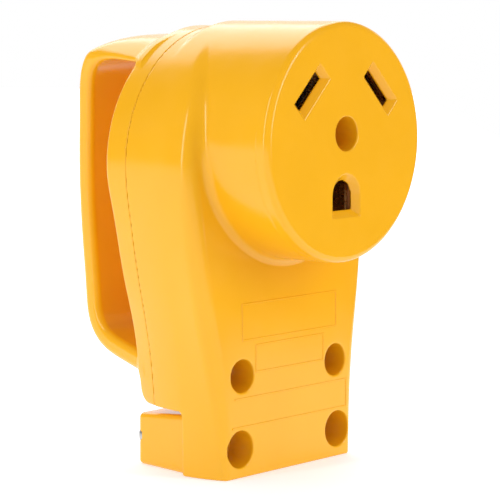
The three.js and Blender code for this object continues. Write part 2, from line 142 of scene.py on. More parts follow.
# Radii: a screw's clear bore and its threaded one, and the tubes and posts round them.
BORE_CLEAR = 2.4
BORE_THREAD = 2.1
TUBE_R = 6.0
POST_R = 5.0


# ------------------------------------------------------------------ distance fields
def length(*parts):
    return np.sqrt(sum(part * part for part in parts))


def round_max(a, b, r):
    """Where both shapes are: the edge between them is rounded by r."""
    return np.minimum(np.maximum(a, b), -r) + length(np.maximum(a + r, 0), np.maximum(b + r, 0))


def round_min(a, b, r):
    """Both shapes joined, with a fillet of r between them."""
    return -round_max(-a, -b, r)


def cut(a, b, r=0.0):
    """Shape a without shape b, with the edge rounded by r."""
    return round_max(a, -b, r)


def rod_y(p, x, z, r, y0, y1, edge=0.0):
    return round_max(np.hypot(p[0] - x, p[2] - z) - r, np.maximum(y0 - p[1], p[1] - y1), edge)


def rod_z(p, x, y, r, z0, z1):
    return round_max(np.hypot(p[0] - x, p[1] - y) - r, np.maximum(z0 - p[2], p[2] - z1), 0)


def hex_y(p, x, z, r, y0, y1):
    """A hexagonal bar along Y with corners above and below its middle."""
    across = np.abs(p[0] - x)
    up = np.abs(p[2] - z)
    flat = r * math.sqrt(3) / 2
    sides = np.maximum(across, across / 2 + up * math.sqrt(3) / 2) - flat
    return round_max(sides, np.maximum(y0 - p[1], p[1] - y1), 0)


def smooth_curve(knots, end_slope=None, count=400):
    """Places and values on a cubic spline through (place, value) knots, given in rising order.

    The far end keeps end_slope, or is left free if that is None.
    """
    place, value = np.array(knots, float).T
    gap = np.diff(place)
    slope = np.diff(value) / gap
    size = len(place)
    left = np.zeros((size, size))
    right = np.zeros(size)
    left[0, 0] = 1
    for i in range(1, size - 1):
        left[i, i - 1 : i + 2] = gap[i - 1], 2 * (gap[i - 1] + gap[i]), gap[i]
        right[i] = 6 * (slope[i] - slope[i - 1])
    left[-1, -1] = 1
    if end_slope is not None:
        left[-1, -2:] = gap[-1], 2 * gap[-1]
        right[-1] = 6 * (end_slope - slope[-1])
    bend = np.linalg.solve(left, right)
    at = np.linspace(place[0], place[-1], count)
    k = np.clip(np.searchsorted(place, at) - 1, 0, size - 2)
    a = (place[k + 1] - at) / gap[k]
    b = 1 - a
    curve = a * value[k] + b * value[k + 1]
    curve += ((a**3 - a) * bend[k] + (b**3 - b) * bend[k + 1]) * gap[k] ** 2 / 6
    return at, curve


# Half widths of the body at its panel, its middle and its back, by height.
FRONT_WIDTH = smooth_curve(
    [(0, 23.4), (17, 25.3), (27.5, 27.4), (37, 29.5), (48.5, 31.5), (62, 32.5)]
    + [(BODY_Z, BODY_R - BODY_TAPER)],
    0,
)
MID_WIDTH = smooth_curve(
    [(0, 25.9), (17, 26.2), (27, 27), (36.5, 28.6), (48, 30.7), (62, 32.9), (BODY_Z, BODY_R)], 0
)
REAR_WIDTH = smooth_curve(
    [(0, 20), (15, 21.5), (24.5, 22.9), (36, 24.9), (47, 27.9), (64.5, 31.8), (BODY_Z, BODY_R)], 0
)
# Radius of the moulded edge between the panel and the sides, by height.
EDGE_RADIUS = smooth_curve(
    [(0, 1.0), (8, 2), (30, 3.8), (60, 3.6), (78, 3.0), (92, 3.6), (104, 8), (112, 10)], 0
)
# How far the panel lies back by height, and how much further its two edges do.
PANEL_LEAN = smooth_curve(
    [(0, 0), (30, 0), (42, 0.1), (51, 0.5), (60, 1.0), (75, 1.9), (90, 3.2), (112, 6)]
)
PANEL_CROWN = smooth_curve(
    [(0, 0), (15, 0), (27, 0.6), (37, 1.2), (48, 1.4), (62, 1.0), (80, 0.6), (110, 0.5)]
)
# The crown starts this share of the way out from the middle.
CROWN_START = 0.6


def panel_at(x, z):
    """The panel's Y at a place in front of it."""
    across = np.abs(x) / np.interp(z, *FRONT_WIDTH)
    crown = np.clip((across - CROWN_START) / (1 - CROWN_START), 0, 1.2) ** 1.5
    return PANEL_Y + np.interp(z, *PANEL_LEAN) + np.interp(z, *PANEL_CROWN) * crown


def body_side(p):
    """Distance outside the body's round top and tapering, crowned sides."""
    x, y, z = p
    front, mid, rear = (np.interp(z, *curve) for curve in (FRONT_WIDTH, MID_WIDTH, REAR_WIDTH))
    ahead = np.clip((MID_Y - y) / (MID_Y - PANEL_Y), 0, 1.3) ** 2
    behind = np.clip((y - MID_Y) / (REAR_Y - MID_Y), 0, 1.3) ** 1.6
    width = mid + (front - mid) * ahead + (rear - mid) * behind
    top = np.hypot(x, z - BODY_Z) - BODY_R + BODY_TAPER * ahead
    return np.where(z > BODY_Z, top, (np.abs(x) - width) * 0.985)


def slot_cut(p, across, along, inset, outline):
    """A slot through the face, with a bevelled mouth that widens to the face."""
    flare = np.clip(FACE_Y + inset - p[1], -0.01, inset + 1)
    return np.maximum((outline(across, along) - flare) * 0.8, p[1] - (FACE_Y + FACE_T + 1))


# Sizes are at the face. The bevel takes the inset off them all round.
LINE_SLOT = {"x": 12.93, "z": HEAD_Z + 12.6, "length": 13.6, "width": 5.4, "inset": 1.5}
GROUND_SLOT = {"z": HEAD_Z - 12.8, "size": 10.6, "inset": 1.7}


def line_slot(p):
    """The two slanted slots, mirrored."""
    x = np.abs(p[0]) - LINE_SLOT["x"]
    z = p[2] - LINE_SLOT["z"]
    along = (x - z) * math.sqrt(0.5)
    across = (x + z) * math.sqrt(0.5)
    half_length = LINE_SLOT["length"] / 2 - LINE_SLOT["inset"]
    half_width = LINE_SLOT["width"] / 2 - LINE_SLOT["inset"]

    def outline(u, v):
        return np.maximum(np.abs(u) - half_width, np.abs(v) - half_length)

    return slot_cut(p, across, along, LINE_SLOT["inset"], outline)


def ground_slot(p):
    """The lower slot, with a round top and a square foot."""
    r = GROUND_SLOT["size"] / 2 - GROUND_SLOT["inset"]

    def outline(u, v):
        return np.where(v > 0, np.hypot(u, v) - r, np.maximum(np.abs(u) - r, -r - v))

    return slot_cut(p, p[0], p[2] - GROUND_SLOT["z"], GROUND_SLOT["inset"], outline)


def hole(p, place, r, y0, y1, edge=0.0):
    """A rod along Y through a named place."""
    return rod_y(p, place["x"], place["z"], r, y0, y1, edge)


def front_housing(p):
    """The round head, the body's front half and the tongue that runs down to the foot."""
    x, y, z = p
    mirror = (np.abs(x), y, z)
    side = body_side(p)
    round_side = np.hypot(x, z - HEAD_Z) - HEAD_R
    panel = round_min(round_side, (panel_at(x, z) - y) * 0.96, 2.4)
    body = np.maximum(round_max(side, panel, np.interp(z, *EDGE_RADIUS)), FACE_Y + 4 - y)
    barrel = round_max(round_max(round_side, FACE_Y - y, 1.7), y - (SEAM_Y - 2.2), 3)
    outer = round_min(barrel, body, 0.5)
    solid = round_max(outer, y - SEAM_Y, 0.03)
    solid = cut(solid, round_max(z - NOTCH_Z, TONGUE_Y - y, 1.2), 0.5)
    solid = round_max(solid, -z, 0.6)
    # hollow inside
    hollow = round_max(round_max(side + WALL, PANEL_Y + WALL - y, 2.5), NOTCH_Z + WALL - z, 1)
    hollow = np.minimum(hollow, np.maximum(round_side + WALL, FACE_Y + FACE_T - y))
    hollow = np.maximum(hollow, outer + LEAST_WALL)
    shell = cut(solid, hollow, EDGE_FINE)
    # screw tubes with a web to the side walls
    tube = hole(mirror, SIDE_HOLE, TUBE_R, PANEL_Y + 1.5, SEAM_Y - 0.15, 0.3)
    shell = round_min(shell, np.maximum(tube, side + 0.6), 0.8)
    middle = hole(p, FACE_HOLE, TUBE_R, FACE_Y + 1, FACE_Y + 23, 0.4)
    shell = round_min(shell, middle, 0.8)
    # the cord's way in
    shell = cut(shell, rod_z(p, 0, CABLE_Y, CABLE_R, -9, NOTCH_Z + 9), 0.9)
    # the fasteners' wells and bores
    shell = cut(shell, hole(p, FACE_HOLE, FACE_HOLE["r"], FACE_Y - 9, FACE_HOLE["seat"]), EDGE_FINE)
    shell = cut(shell, hole(p, FACE_HOLE, BORE_CLEAR, FACE_Y, FACE_Y + 30), 0.2)
    shell = cut(shell, hole(mirror, SIDE_HOLE, SIDE_HOLE["r"], PANEL_Y - 9, SIDE_HOLE["seat"]), 0.35)
    shell = cut(shell, hole(mirror, SIDE_HOLE, BORE_CLEAR, PANEL_Y, SEAM_Y + 5), 0.2)
    shell = cut(shell, hole(mirror, NUT_HOLE, NUT_HOLE["r"], PANEL_Y - 9, NUT_LOW[1] - 0.3), 0.35)
    pocket = (NUT_R + 0.25, NUT_LOW[1] - 1, NUT_HIGH[1] + 0.2)
    shell = cut(shell, hex_y(mirror, NUT_HOLE["x"], NUT_HOLE["z"], *pocket))
    shell = cut(shell, hole(mirror, NUT_HOLE, BORE_CLEAR, PANEL_Y, TONGUE_Y + 5), 0.2)
    return np.maximum(shell, -np.minimum(line_slot(p), ground_slot(p)))


# ------------------------------------------------------------------ grip strap
GRIP_THICK = 5.0
GRIP_BACK = cad_box[1][1] * 1000 - GRIP_THICK / 2
# The strap's middle line runs through these (y, z) points, from its top root to its lower one.
GRIP_POINTS = [
    (8.6, 104.2), (18, 104.6), (26, 104), (31, 101.6), (33.5, 97), (34.2, 88), (GRIP_BACK, 76),
    (33.8, 58), (32.4, 43.5), (31, 35), (27, 29.9), (19.6, 27), (8.6, 24.4),
]
LINE_POINTS = 1200
# The YZ grid that the strap's tables are made over.
GRID_Y = (4, 42)
GRID_Z = (16, 114)
GRID_STEP = 0.25


def grip_table():
    """Tables over a YZ grid: distance outside the strap's middle line, and the share of its length."""
    points = np.array(GRIP_POINTS)
    run = np.concatenate([[0], np.cumsum(np.sqrt(np.hypot(*np.diff(points, axis=0).T)))])
    y = smooth_curve(list(zip(run, points[:, 0])), count=LINE_POINTS)[1]
    z = smooth_curve(list(zip(run, points[:, 1])), count=LINE_POINTS)[1]
    travel = np.concatenate([[0], np.cumsum(np.hypot(np.diff(y), np.diff(z)))])
    even = np.linspace(0, travel[-1], LINE_POINTS)
    y, z = np.interp(even, travel, y), np.interp(even, travel, z)
    along_y, along_z = np.gradient(y), np.gradient(z)
    size = np.hypot(along_y, along_z)
    along_y, along_z = along_y / size, along_z / size
    rows = np.arange(*GRID_Y, GRID_STEP)
    columns = np.arange(*GRID_Z, GRID_STEP)
    out = np.empty((len(rows), len(columns)))
    share = np.empty_like(out)
    for i, row in enumerate(rows):
        k = np.argmin((y - row) ** 2 + (z - columns[:, None]) ** 2, axis=1)
        dy, dz = row - y[k], columns - z[k]
        out[i] = dz * along_y[k] - dy * along_z[k]
        past = dy * along_y[k] + dz * along_z[k]
        share[i] = (even[k] + past) / travel[-1]
    return out, share


GRIP_OUT, GRIP_SHARE = grip_table()


def read_table(table, y, z):
    """A table's value between its grid points."""
    i = np.clip((y - GRID_Y[0]) / GRID_STEP, 0, table.shape[0] - 1.001)
    k = np.clip((z - GRID_Z[0]) / GRID_STEP, 0, table.shape[1] - 1.001)
    i0, k0 = i.astype(int), k.astype(int)
    a, b = i - i0, k - k0
    low = table[i0, k0] * (1 - a) + table[i0 + 1, k0] * a
    high = table[i0, k0 + 1] * (1 - a) + table[i0 + 1, k0 + 1] * a
    return low * (1 - b) + high * b


def grip_strap(p):
    """A crowned strap that widens at its two roots and stays under the body's round top."""
    x, y, z = p
    out = read_table(GRIP_OUT, y, z)
    share = np.clip(read_table(GRIP_SHARE, y, z), 0, 1)
    width = 19 + np.where(share < 0.5, 5.5, 3.5) * np.abs(2 * share - 1) ** 4
    crown = 1.6 * np.clip(1 - share / 0.3, 0, 1) ** 1.3 + 0.6
    out = out + crown * (x / width) ** 2
    strap = round_max(np.abs(out) - GRIP_THICK / 2, np.abs(x) - width, 1.9)
    top = np.where(z > BODY_Z, np.hypot(x, z - BODY_Z) - BODY_R + 0.2, -99)
    strap = round_max(strap, top, 1.5)
    return np.maximum(strap, REAR_Y - 1.5 - y)


def rear_cover(p):
    """The body's back half with its locating lip, screw posts and grip strap."""
    x, y, z = p
    mirror = (np.abs(x), y, z)
    side = body_side(p)
    block = round_max(NOTCH_Z - z, y - REAR_Y, 3.6)
    solid = round_max(side, block, 0.8)
    solid = round_max(solid, SEAM_Y - y, 0.03)
    solid = round_min(solid, grip_strap(p), 2.0)

    def inset(depth):
        return round_max(side + depth, NOTCH_Z + depth - z, 1.5)

    lip = cut(inset(WALL + 0.25), inset(WALL + 1.65))
    lip = round_max(lip, np.maximum(SEAM_Y - 2.2 - y, y - SEAM_Y - 1), 0.2)
    lip = cut(lip, hole(mirror, SIDE_HOLE, TUBE_R + 0.3, SEAM_Y - 9, SEAM_Y))
    hollow = round_max(inset(WALL + 1.65), y - (REAR_Y - WALL), 1.5)
    shell = np.minimum(cut(solid, hollow, 0.2), lip)
    post = hole(mirror, SIDE_HOLE, POST_R, SEAM_Y + 0.15, REAR_Y - 1, 0.3)
    shell = round_min(shell, np.maximum(post, side + 0.6), 0.8)
    middle = hole(p, FACE_HOLE, POST_R, FACE_Y + 23.3, REAR_Y - 1, 0.3)
    for angle in (90, 210, 330):
        # three thin ribs hold the long middle post upright
        turn = math.radians(angle)
        run = x * math.cos(turn) + (z - FACE_HOLE["z"]) * math.sin(turn)
        off = (z - FACE_HOLE["z"]) * math.cos(turn) - x * math.sin(turn)
        reach = 4 + np.clip(y - (REAR_Y - 13), 0, 13) * 0.55
        rib = np.maximum(np.abs(off) - 0.8, run - reach)
        rib = np.maximum(rib, np.maximum(-run, REAR_Y - 12 - y))
        middle = round_min(middle, np.maximum(rib, y - (REAR_Y - 1)), 0.5)
    shell = round_min(shell, middle, 0.8)
    tip = SIDE_HOLE["seat"] + 16.5
    shell = cut(shell, hole(mirror, SIDE_HOLE, BORE_THREAD, SEAM_Y - 9, tip), 0.3)
    return cut(shell, hole(p, FACE_HOLE, BORE_THREAD, FACE_Y, REAR_Y - 2), 0.3)


# ------------------------------------------------------------------ cord clamp
# Its top's height and its half width, each at the front and at the back.
CLAMP_TOP = (14.7, 12.9)
CLAMP_WIDTH = (24.0, 21.5)
RIB_HEIGHTS = (3.4, 7.0, 10.6)
SEAT_DEPTH = 1.6
SEAT_R = 3.1


def cord_clamp(p):
    """The block that closes on the tongue, with a ribbed channel for the cord."""
    x, y, z = p
    front, rear = CLAMP_LOW[1], CLAMP_HIGH[1]
    share = (y - front) / (rear - front)
    width = CLAMP_WIDTH[0] + (CLAMP_WIDTH[1] - CLAMP_WIDTH[0]) * share
    top = CLAMP_TOP[0] + (CLAMP_TOP[1] - CLAMP_TOP[0]) * share
    block = round_max(np.abs(x) - width, z - top, 1.3)
    block = round_max(round_max(block, y - rear, 1.4), -z, 1.0)
    block = round_max(block, front - y, 0.9)
    ribs = sum(np.clip(1 - np.abs(z - height) / 0.8, 0, 1) for height in RIB_HEIGHTS)
    channel = (np.hypot(x, y - CABLE_Y) - CABLE_R + 0.8 * ribs) * 0.8
    block = cut(block, channel, 0.5)
    mirror = (np.abs(x), y, z)
    block = cut(block, hole(mirror, NUT_HOLE, BORE_CLEAR, front - 5, rear + 5), 0.25)
    return cut(block, hole(mirror, NUT_HOLE, SEAT_R, rear - SEAT_DEPTH, rear + 5), 0.25)


# ------------------------------------------------------------------ fasteners
PITCH = 0.794
WASHER_BORE = 2.35


def thread(dx, dz, y):
    """A wave between 0 and 1 that winds round Y once in each pitch."""
    phase = np.arctan2(dx, dz) / (2 * math.pi) - y / PITCH
    return np.abs(phase - np.floor(phase) - 0.5) * 2


def screw(node, facing, head_h, shank_r, driver):
    """The distance field of a pan-head screw along Y, in the place of its CAD node."""
    low, high = box_mm(node)
    head_r = (high[0] - low[0]) / 2
    x0, _, z0 = (low + high) / 2
    top = high[1] if facing > 0 else low[1]
    tip = low[1] if facing > 0 else high[1]
    seat = top - facing * head_h
    reach = abs(seat - tip)

    def field(p):
        dx, dz = p[0] - x0, p[2] - z0
        up = (p[1] - seat) * facing
        radius = np.hypot(dx, dz)
        dome = head_h - 0.28 * head_h * (radius / head_r) ** 2
        head = round_max(round_max(radius - head_r, up - dome, 0.32 * head_h), -up, 0.12)
        tooth = thread(dx, dz, p[1])
        runout = np.clip((reach - 1.0 + up) / 1.0, 0, 1)
        depth = 0.34 * np.clip(-(up + 0.9) / 0.5, 0, 1)
        thread_r = shank_r - depth * np.clip(1.25 * (1 - tooth), 0, 1) - 0.3 * (1 - runout)
        shank = round_max((radius - thread_r) * 0.75, np.maximum(-reach - up, up - 0.3), 0.1)
        made = round_min(head, shank, 0.15)
        sink = up - head_h * 0.42
        if driver == "cross":
            arm = 0.40 + 0.14 * np.clip(sink, 0, 2)
            end = head_r * (0.34 + 0.16 * np.clip(sink, 0, 2))
            across, along = np.abs(dx), np.abs(dz)
            upright = np.maximum(across - arm, along - end)
            level = np.maximum(along - arm, across - end)
            recess = np.minimum(upright, level)
            made = cut(made, np.maximum(recess, -sink), 0.1)
        else:
            made = cut(made, np.maximum(np.abs(dz) - 0.5, -sink), 0.1)
        return made

    return field


def nut(node):
    """The distance field of a hexagonal nut along Y, in the place of its CAD node."""
    low, high = box_mm(node)
    x, _, z = (low + high) / 2

    def field(p):
        bar = hex_y(p, x, z, NUT_R, low[1], high[1])
        radius = np.hypot(p[0] - x, p[2] - z)
        middle = abs(high[1] - low[1]) / 2
        off = np.abs(p[1] - (low[1] + high[1]) / 2)
        bar = np.maximum(bar, (radius + 2 * (off - middle) - NUT_R + 0.5) * 0.45)
        tooth = thread(p[0] - x, p[2] - z, p[1])
        flare = np.clip(off - middle + 0.5, 0, 1)
        return cut(bar, (radius - 2.02 - 0.3 * tooth - flare) * 0.7)

    return field


def washer(node):
    """The distance field of a flat washer along Y, in the place of its CAD node."""
    low, high = box_mm(node)
    x, _, z = (low + high) / 2
    radius = (high[0] - low[0]) / 2

    def field(p):
        disc = rod_y(p, x, z, radius, low[1], high[1], 0.12)
        return cut(disc, rod_y(p, x, z, WASHER_BORE, -99, 99), 0.1)

    return field


# ------------------------------------------------------------------ meshes from distance fields
BLOCK = 4


def sample(shape, low, high, step):
    """The shape's distance on a grid, exact near its surface and rough away from it."""
    size = step * BLOCK
    count = np.ceil((high - low) / size).astype(int)
    middles = [start + (np.arange(n) + 0.5) * size for start, n in zip(low, count)]
    rough = shape(np.meshgrid(*middles, indexing="ij"))
    field = rough
    for axis in range(3):
        field = field.repeat(BLOCK, axis)
    near = np.argwhere(np.abs(rough) < size * 1.1)
    offsets = np.indices((BLOCK,) * 3).reshape(3, -1).T
    for some in np.array_split(near, max(len(near) // 6000, 1)):
        index = (some[:, None, :] * BLOCK + offsets).reshape(-1, 3)
        points = low + (index + 0.5) * step
        field[tuple(index.T)] = shape(tuple(points.T))
    return field


def surface(field, low, step):
    """Points and quads of the surface where the field changes sign."""
    inside = field < 0
    cut_off = [slice(None, -1), slice(1, None)]
    corners = np.indices((2, 2, 2)).reshape(3, -1).T
    total = sum(inside[tuple(cut_off[c] for c in corner)].astype(np.int8) for corner in corners)
    cells = np.argwhere((total > 0) & (total < 8))
    number = np.full(total.shape, -1, np.int32)
    number[tuple(cells.T)] = np.arange(len(cells))
    values = np.stack([field[tuple((cells + corner).T)] for corner in corners], axis=1)
    sums, counts = np.zeros((len(cells), 3)), np.zeros(len(cells))
    for a in range(8):
        for b in range(a + 1, 8):
            if np.abs(corners[a] - corners[b]).sum() != 1:
                continue
            crossed = (values[:, a] < 0) != (values[:, b] < 0)
            share = np.where(crossed, values[:, a] / np.where(crossed, values[:, a] - values[:, b], 1), 0)
            sums += crossed[:, None] * (corners[a] + share[:, None] * (corners[b] - corners[a]))
            counts += crossed
    points = low + (cells + 0.5 + sums / counts[:, None]) * step
    quads = []
    for axis in range(3):
        before = [slice(None)] * 3
        after = [slice(None)] * 3
        before[axis], after[axis] = cut_off
        start = inside[tuple(before)]
        edges = np.argwhere(start != inside[tuple(after)])
        u, v = np.eye(3, dtype=int)[(axis + 1) % 3], np.eye(3, dtype=int)[(axis + 2) % 3]
        ring = np.stack([number[tuple((edges - shift).T)] for shift in (u + v, v, 0 * u, u)], axis=1)
        flip = ~start[tuple(edges.T)]
        ring[flip] = ring[flip][:, ::-1]
        quads.append(ring)
    return points, np.concatenate(quads)


def slopes(shape, points, reach):
    """The field's slope at each point, over reach to either side."""
    result = np.empty_like(points)
    for axis in range(3):
        step = np.zeros(3)
        step[axis] = reach
        result[:, axis] = (shape(tuple((points + step).T)) - shape(tuple((points - step).T))) / (2 * reach)
    return result


def field_mesh(name, shape, low, high, step):
    """A smooth mesh object of a distance field, with its corners brought onto the true surface."""
    low, high = np.array(low) - 2 * step, np.array(high) + 2 * step
    points, quads = surface(sample(shape, low, high, step), low, step)
    for _ in range(3):
        value = shape(tuple(points.T))
        slope = slopes(shape, points, step * 0.15)
        scale = np.maximum((slope**2).sum(axis=1), 0.3)
        move = np.clip(value / scale, -step / 2, step / 2)
        points = points - slope * move[:, None]
    normals = slopes(shape, points, step * 0.4)
    normals /= np.maximum(length(*normals.T), 1e-6)[:, None]
    mesh = bpy.data.meshes.new(name)
    mesh.vertices.add(len(points))
    mesh.vertices.foreach_set("co", (points * 0.001).ravel())
    mesh.loops.add(quads.size)
    mesh.loops.foreach_set("vertex_index", quads.ravel())
    mesh.polygons.add(len(quads))
    mesh.polygons.foreach_set("loop_start", np.arange(0, quads.size, 4))
    mesh.update(calc_edges=True)
    mesh.shade_smooth()
    mesh.normals_split_custom_set_from_vertices(normals.tolist())
    made = bpy.data.objects.new(name, mesh)
    bpy.context.collection.objects.link(made)
    return made


# ------------------------------------------------------------------ materials
def node_material(name):
    """A new material, its nodes and links, and its shader."""
    made = bpy.data.materials.new(name)
    made.use_nodes = True
    nodes, links = made.node_tree.nodes, made.node_tree.links
    return made, nodes, links, nodes["Principled BSDF"]


def noise(nodes, links, scale, detail, source):
    """A noise over the object's own coordinates, which source gives."""
    made = nodes.new("ShaderNodeTexNoise")
    made.inputs["Scale"].default_value = scale
    made.inputs["Detail"].default_value = detail
    links.new(source.outputs["Object"], made.inputs["Vector"])
    return made


def ramp(nodes, links, source, low, high):
    """The source's 0.3 to 0.7 stretched to low to high."""
    made = nodes.new("ShaderNodeMapRange")
    made.inputs["From Min"].default_value = 0.3
    made.inputs["From Max"].default_value = 0.7
    made.inputs["To Min"].default_value = low
    made.inputs["To Max"].default_value = high
    links.new(source.outputs["Fac"], made.inputs["Value"])
    return made


def tint(nodes, links, source, dark, light, shader):
    """Mixes two close colours by a noise, for the shader's base colour."""
    mix = nodes.new("ShaderNodeMix")
    mix.data_type = "RGBA"
    mix.inputs["A"].default_value = (*dark, 1)
    mix.inputs["B"].default_value = (*light, 1)
    links.new(ramp(nodes, links, source, 0, 1).outputs["Result"], mix.inputs["Factor"])
    links.new(mix.outputs["Result"], shader.inputs["Base Color"])


def bump(nodes, links, sources, shader):
    """Adds up heights given as (noise, height in metres) in one chain of bumps."""
    last = None
    for source, height in sources:
        made = nodes.new("ShaderNodeBump")
        made.inputs["Distance"].default_value = height
        made.inputs["Strength"].default_value = 1
        links.new(source.outputs["Fac"], made.inputs["Height"])
        if last:
            links.new(last.outputs["Normal"], made.inputs["Normal"])
        last = made
    links.new(last.outputs["Normal"], shader.inputs["Normal"])


def yellow_plastic():
    """A glossy moulded plastic with a faint ripple and a finer grain."""
    made, nodes, links, shader = node_material("yellow_moulded_plastic")
    place = nodes.new("ShaderNodeTexCoord")
    tint(nodes, links, noise(nodes, links, 60, 3, place), (0.89, 0.424, 0.006), (0.92, 0.442, 0.008), shader)
    rough = ramp(nodes, links, noise(nodes, links, 240, 4, place), 0.17, 0.22)
    links.new(rough.outputs["Result"], shader.inputs["Roughness"])
    shader.inputs["IOR"].default_value = 1.5
    shader.inputs["Specular IOR Level"].default_value = 0.5
    ripple = noise(nodes, links, 90, 1, place)
    grain = noise(nodes, links, 5200, 2, place)
    bump(nodes, links, [(ripple, 0.00006), (grain, 0.000002)], shader)
    return made


def insulator(name, dark, light, roughness):
    """A dull moulded or pressed board, faintly mottled."""
    made, nodes, links, shader = node_material(name)
    place = nodes.new("ShaderNodeTexCoord")
    tint(nodes, links, noise(nodes, links, 900, 6, place), dark, light, shader)
    rough = ramp(nodes, links, noise(nodes, links, 400, 4, place), roughness - 0.08, roughness + 0.08)
    links.new(rough.outputs["Result"], shader.inputs["Roughness"])
    bump(nodes, links, [(noise(nodes, links, 2500, 5, place), 0.00003)], shader)
    return made


def metal(name, dark, light, roughness, brushed=True):
    """A metal with a fine grain, drawn out along Y if brushed."""
    made, nodes, links, shader = node_material(name)
    place = nodes.new("ShaderNodeTexCoord")
    shader.inputs["Metallic"].default_value = 1
    tint(nodes, links, noise(nodes, links, 500, 5, place), dark, light, shader)
    rough = ramp(nodes, links, noise(nodes, links, 1500, 5, place), roughness - 0.07, roughness + 0.1)
    links.new(rough.outputs["Result"], shader.inputs["Roughness"])
    stretch = nodes.new("ShaderNodeMapping")
    stretch.inputs["Scale"].default_value = (1, 0.08, 1) if brushed else (1, 1, 1)
    links.new(place.outputs["Object"], stretch.inputs["Vector"])
    grain = nodes.new("ShaderNodeTexNoise")
    grain.inputs["Scale"].default_value = 6000
    grain.inputs["Detail"].default_value = 3
    links.new(stretch.outputs["Vector"], grain.inputs["Vector"])
    bump(nodes, links, [(grain, 0.000006)], shader)
    return made


MATERIALS = {
    "yellow_plastic": yellow_plastic(),
    "dark_insulator": insulator("dark_moulded_insulator", (0.36, 0.135, 0.040), (0.44, 0.165, 0.050), 0.55),
    "fibre_board": insulator("grey_fibre_board", (0.03, 0.024, 0.02), (0.06, 0.046, 0.038), 0.75),
    "brass": metal("stamped_brass", (0.68, 0.42, 0.14), (0.82, 0.56, 0.24), 0.28),
    "nickel_plate": metal("nickel_plate", (0.6, 0.58, 0.52), (0.7, 0.68, 0.63), 0.24),
    "zinc_steel": metal("zinc_plated_steel", (0.5, 0.52, 0.53), (0.66, 0.67, 0.68), 0.32, brushed=False),
    "green_screw": metal("green_plated_screw", (0.03, 0.2, 0.07), (0.06, 0.3, 0.11), 0.35, brushed=False),
}


# ------------------------------------------------------------------ pieces
SLOT_OF = {part["node"]: part["material_slot"] for part in frame["record"]["subparts"]}
BODY_OF = {node: body for body, nodes in frame["record"]["behaviour"]["bodies"].items() for node in nodes}


def replace_node(name, node, shape, step):
    """Makes a field's mesh, which stands for one CAD node and rides on its body."""
    low, high = box_mm(node)
    made = field_mesh(name, shape, low, high, step)
    made.data.materials.append(MATERIALS[SLOT_OF[node]])
    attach(made, BODY_OF[node])
    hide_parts(node)


MOULD_STEP = 0.4
SCREW_STEP = 0.11

replace_node("moulded_front_housing", "front_housing", front_housing, MOULD_STEP)
replace_node("moulded_rear_cover", "rear_cover_with_handle", rear_cover, MOULD_STEP)
replace_node("moulded_cord_clamp", "cord_clamp", cord_clamp, MOULD_STEP)

for name in ("face", "housing_left", "housing_right"):
    node = f"{name}_screw"
    replace_node(f"threaded_{node}", node, screw(node, -1, 2.4, 2.0, "cross"), SCREW_STEP)
    replace_node(f"rounded_{name}_washer", f"{name}_washer", washer(f"{name}_washer"), SCREW_STEP)
for side in ("left", "right"):
    node = f"clamp_screw_{side}"
    replace_node(f"threaded_{node}", node, screw(node, 1, 1.9, 2.0, "cross"), SCREW_STEP)
    replace_node(f"threaded_clamp_nut_{side}", f"clamp_nut_{side}", nut(f"clamp_nut_{side}"), SCREW_STEP)
    node = f"retainer_screw_{side}"
    replace_node(f"threaded_{node}", node, screw(node, 1, 1.8, 1.4, "cross"), SCREW_STEP)
for name in ("hot", "neutral", "ground"):
    node = f"{name}_terminal_screw"
    replace_node(f"threaded_{node}", node, screw(node, 1, 2.2, 1.75, "slot"), SCREW_STEP)

BEVEL_WIDTH = 0.00018
BEVELLED = ["contact_carrier", "contact_retainer"]
for name in ("hot", "neutral", "ground"):
    BEVELLED += [f"{name}_{kind}" for kind in ("contact_clip", "terminal_block", "pressure_plate")]
for node in BEVELLED:
    made = frame["nodes"][node]
    made.data.materials.clear()
    made.data.materials.append(MATERIALS[SLOT_OF[node]])
    edges = made.modifiers.new("edges", "BEVEL")
    edges.width = BEVEL_WIDTH
    edges.segments = 2
    edges.limit_method = "ANGLE"
    edges.angle_limit = math.radians(35)


# ------------------------------------------------------------------ raised frames on the panel
BEAD_HALF = 0.28
BEAD_HEIGHT = 0.16
BEAD_SINK = 0.1
# A bead's section as (offset along the panel, rise in Y), from one foot to the other.
BEAD_PROFILE = [
    (-BEAD_HALF, BEAD_SINK),
    (-BEAD_HALF * 0.55, -BEAD_HEIGHT),
    (BEAD_HALF * 0.55, -BEAD_HEIGHT),
    (BEAD_HALF, BEAD_SINK),
]
BEAD_STEPS = 12


def bead_path(corners, closed):
    """The corners as vectors, with more points between them so that a bead can follow the panel."""
    corners = [Vector(corner) for corner in corners]
    after = corners[1:] + (corners[:1] if closed else [])
    points = []
    for start, end in zip(corners, after):
        points += [start.lerp(end, k / BEAD_STEPS) for k in range(BEAD_STEPS)]
    return points if closed else points + corners[-1:]


